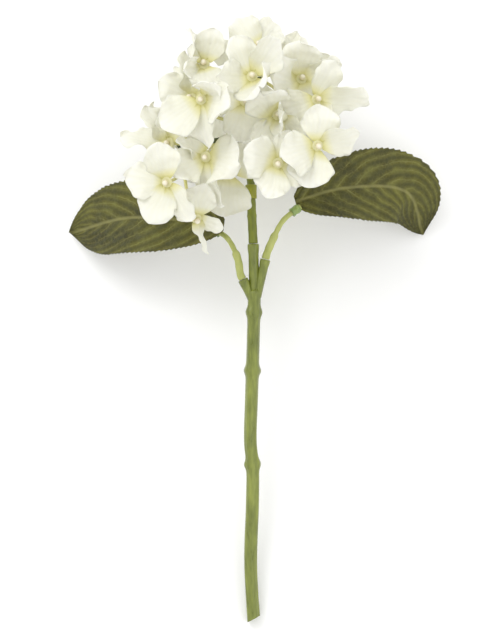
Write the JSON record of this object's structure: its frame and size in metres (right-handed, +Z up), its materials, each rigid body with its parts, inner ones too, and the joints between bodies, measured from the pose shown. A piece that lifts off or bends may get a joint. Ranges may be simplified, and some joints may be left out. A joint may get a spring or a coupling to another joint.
{
  "type": "cut hydrangea",
  "caption": "Cut white hydrangea with a mophead of four-petalled florets, a straight green stem cut at a slant and a pair of toothed leaves, lying on its back.",
  "frame": {"origin": "middle of the bounding box's base, on the surface that the flower lies on", "axes": "+Y along the stem towards the flower head, +Z up from the surface, +X across the leaves"},
  "size_m": [0.2418, 0.3806, 0.1443],
  "materials": {
    "stem": "satin green, ridged",
    "petiole": "satin yellow-green",
    "clip": "glossy green",
    "leaf": "matt olive green, veined",
    "branch": "satin dark green",
    "pedicel": "satin cream with a pearly bead",
    "petal": "matt creamy white, greener at the throat"
  },
  "bodies": {
    "root": {"stem": "stem", "upper_stem": "stem", "peduncle": "stem", "petiole_left": "petiole", "petiole_right": "petiole", "leaf_clip_left": "clip", "leaf_clip_right": "clip", "leaf_left": "leaf", "leaf_right": "leaf", "branch_1": "branch", "branch_2": "branch", "branch_3": "branch", "branch_4": "branch", "branch_5": "branch", "pedicel_01": "pedicel", "pedicel_02": "pedicel", "pedicel_03": "pedicel", "pedicel_04": "pedicel", "pedicel_05": "pedicel", "pedicel_06": "pedicel", "pedicel_07": "pedicel", "pedicel_08": "pedicel", "pedicel_09": "pedicel", "pedicel_10": "pedicel", "pedicel_11": "pedicel", "pedicel_12": "pedicel", "pedicel_13": "pedicel", "pedicel_14": "pedicel", "pedicel_15": "pedicel", "pedicel_16": "pedicel", "pedicel_17": "pedicel", "pedicel_18": "pedicel", "pedicel_19": "pedicel", "pedicel_20": "pedicel", "pedicel_21": "pedicel", "pedicel_22": "pedicel", "pedicel_23": "pedicel", "corolla_01": "petal", "corolla_02": "petal", "corolla_03": "petal", "corolla_04": "petal", "corolla_05": "petal", "corolla_06": "petal", "corolla_07": "petal", "corolla_08": "petal", "corolla_09": "petal", "corolla_10": "petal", "corolla_11": "petal", "corolla_12": "petal", "corolla_13": "petal", "corolla_14": "petal", "corolla_15": "petal", "corolla_16": "petal", "corolla_17": "petal", "corolla_18": "petal", "corolla_19": "petal", "corolla_20": "petal", "corolla_21": "petal", "corolla_22": "petal", "corolla_23": "petal"}
  },
  "joints": []
}
